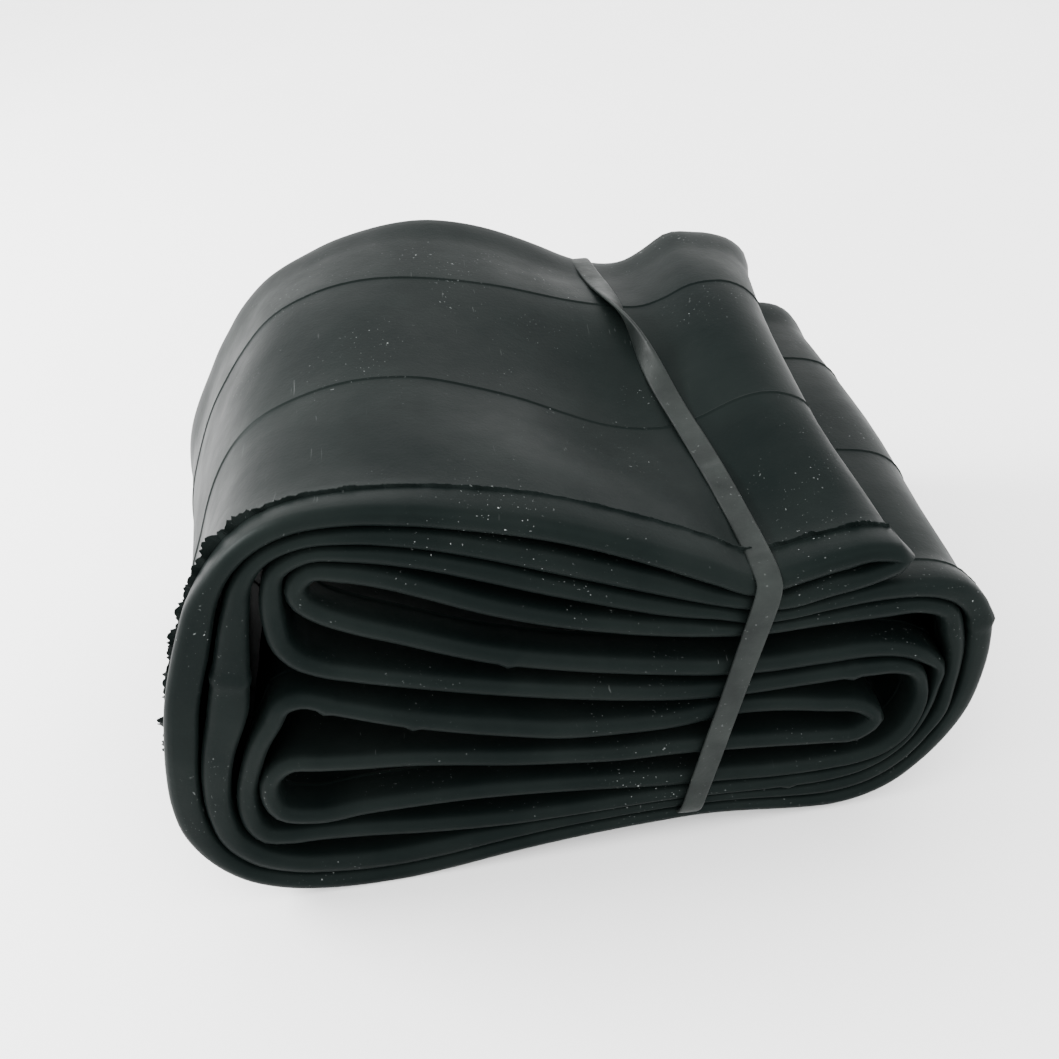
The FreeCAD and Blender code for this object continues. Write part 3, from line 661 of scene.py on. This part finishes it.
# ---- the band ----------------------------------------------------------------------------------------
BAND_TOP = [(39.3, -56), (38.6, -44), (36.2, -28), (33.8, -13), (30.6, 2), (27.2, 18), (24.9, 32),
            (22.8, 46), (21.5, 56)]
BAND_FRONT_TOP, BAND_FRONT_FOOT = (39.2, 62.0), (21.6, 6.0)
BAND_BACK_TOP, BAND_BACK_FOOT = (21.2, 71.0), (8.0, 6.0)
BAND_OUTSIDE = HALF_WIDTH + 1.3
TOP_REACH = 54.5            # the rubber's height is taken no further out than this
BAND_REST = 0.5             # its middle line stands this far off the rubber on top
BAND_UNDER = [(10.5, 40, 2.6), (13.0, 20, 2.9), (15.5, 0, 3.0), (18.0, -20, 2.9), (20.3, -42, 2.6)]
BAND_STEP = 0.8
TWIST_START, TWIST_END = -12.0, 42.0      # it turns over between these places across the top
TURN_BACK_TOP, TURN_BACK_FOOT = 60.0, 24.0      # and back again between these heights behind the bundle
SPLICE_START, SPLICE_END, SPLICE_EXTRA = -51.0, -25.0, 0.45


def top_height(x, y):
    """Height of the outer strand's tread face over a place on the top of the bundle."""
    line = fold_at(y)
    crown = (strand_of == OUTER) & (line[:, 1] > 55) & (line[:, 0] > -40) & (line[:, 0] < 60)
    found = np.nonzero(crown)[0]
    order = found[np.argsort(line[found, 0])]
    wall = wall_heights(y, -1)
    return np.interp(x, line[order, 0], line[order, 1] + wall[order])


def band_line():
    """The band's middle line: over the top, down the back, under the bundle and up the front."""
    over = [(x, y, top_height(x, max(-TOP_REACH, min(TOP_REACH, y))) + BAND_REST) for x, y in BAND_TOP]

    def column(top, foot, y):
        return [(top[0] + (foot[0] - top[0]) * t, y, top[1] + (foot[1] - top[1]) * t)
                for t in np.linspace(0, 1, 7)]

    back = column(BAND_BACK_TOP, BAND_BACK_FOOT, BAND_OUTSIDE)
    front_run = column(BAND_FRONT_TOP, BAND_FRONT_FOOT, -BAND_OUTSIDE)[::-1]
    return over + back + BAND_UNDER + front_run


def band_mesh():
    line = curve_within(band_line())
    far = run_length(line)
    marks = np.arange(0, far[-1] - BAND_STEP / 2, BAND_STEP)
    closed = np.vstack([line, line[:1]])
    line = np.column_stack([np.interp(marks, far, closed[:, k]) for k in range(3)])
    way = np.roll(line, -1, 0) - np.roll(line, 1, 0)
    way /= np.linalg.norm(way, axis=1)[:, None]
    centre = line.mean(0)
    out = line - centre
    out[:, 0] = 0
    out /= np.linalg.norm(out, axis=1)[:, None]
    out = ring_blur(out, 3)
    wide = np.cross(way, out)
    wide /= np.linalg.norm(wide, axis=1)[:, None]
    out = np.cross(wide, way)
    angle = (math.pi * smooth_rise(line[:, 1], TWIST_START, TWIST_END)
             * smooth_rise(line[:, 2], TURN_BACK_FOOT, TURN_BACK_TOP))
    lift = np.sin(angle) * (BAND_HALF_WIDTH - BAND_HALF_THICKNESS)
    line = line + out * lift[:, None]
    spliced = (line[:, 1] > SPLICE_START) & (line[:, 1] < SPLICE_END) & (line[:, 2] > TURN_BACK_TOP)
    thickness = 1 + SPLICE_EXTRA * spliced * (1 + 0.25 * ripples(marks, 0, 3, 9, 5))
    face = wide * np.cos(angle)[:, None] + out * np.sin(angle)[:, None]
    thick = np.cross(face, way)
    section = [(c * (1 - SQUARENESS) + math.copysign(SQUARENESS, c), s) for c, s in
               ((math.copysign(abs(math.cos(a)) ** 0.35, math.cos(a)),
                 math.copysign(abs(math.sin(a)) ** 0.7, math.sin(a)))
                for a in np.radians(np.arange(10, 370, 20)))]
    wobble = 1 + 0.04 * ripples(marks, 0, 12, 60, 5)
    points = np.stack([line + face * (a * BAND_HALF_WIDTH * wobble)[:, None]
                       + thick * (b * BAND_HALF_THICKNESS * thickness)[:, None] for a, b in section],
                      axis=1)
    points[..., 0] -= BUNDLE_MIDDLE_X
    points[..., 2] = np.maximum(points[..., 2], 0.02)
    return points


band_points = band_mesh()
rows, columns, _ = band_points.shape
band = add_mesh("band_loop", band_points.reshape(-1, 3), grid_faces(rows, columns, True), band_rubber())
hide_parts("rubber_band")

# ---- floor, light and camera -------------------------------------------------------------------------
CAMERA_AROUND, CAMERA_ABOVE, CAMERA_ROLL = math.radians(-0.47), math.radians(37.22), math.radians(-8.95)
CAMERA_TARGET = Vector((-2.0, 0, 40.43)) * MM
CAMERA_DISTANCE = 289.37 * MM
SENSOR_WIDTH, LENS = 36.0, 45.212464


def make_camera():
    a, e, r = CAMERA_AROUND, CAMERA_ABOVE, CAMERA_ROLL
    back = Vector((math.sin(a) * math.cos(e), -math.cos(a) * math.cos(e), math.sin(e)))
    right = Vector((math.cos(a), math.sin(a), 0))
    up = back.cross(right)
    across = right * math.cos(r) + up * math.sin(r)
    upright = up * math.cos(r) - right * math.sin(r)
    data = bpy.data.cameras.new("camera")
    data.sensor_width = SENSOR_WIDTH
    data.lens = LENS
    data.clip_start, data.clip_end = 0.01, 20
    camera = bpy.data.objects.new("camera", data)
    bpy.context.scene.collection.objects.link(camera)
    turn = Matrix((across, upright, back)).transposed()
    camera.matrix_world = Matrix.Translation(CAMERA_TARGET + back * CAMERA_DISTANCE) @ turn.to_4x4()
    bpy.context.scene.camera = camera


def add_light(name, place, size, power, target=(0, 0, 0.04)):
    data = bpy.data.lights.new(name, "AREA")
    data.shape = "RECTANGLE"
    data.size, data.size_y = size
    data.energy = power
    light = bpy.data.objects.new(name, data)
    light.location = place
    light.rotation_mode = "QUATERNION"
    light.rotation_quaternion = (Vector(target) - Vector(place)).to_track_quat("-Z", "Y")
    bpy.context.scene.collection.objects.link(light)


def make_floor():
    size = 3.0
    corners = [(-size, -size, 0), (size, -size, 0), (size, size, 0), (-size, size, 0)]
    mesh = bpy.data.meshes.new("floor")
    mesh.from_pydata(corners, [], [(0, 1, 2, 3)])
    mesh.materials.append(floor_white())
    floor = bpy.data.objects.new("floor", mesh)
    bpy.context.scene.collection.objects.link(floor)


def make_world():
    world = bpy.data.worlds.new("world")
    world.use_nodes = True
    world.node_tree.nodes["Background"].inputs["Color"].default_value = (1, 1, 1, 1)
    world.node_tree.nodes["Background"].inputs["Strength"].default_value = 3.8
    bpy.context.scene.world = world


make_floor()
make_world()
make_camera()
add_light("key_light", (-0.62, 0.16, 0.36), (0.35, 0.3), 13)
add_light("front_light", (0.35, -0.75, 0.75), (0.9, 0.5), 4)
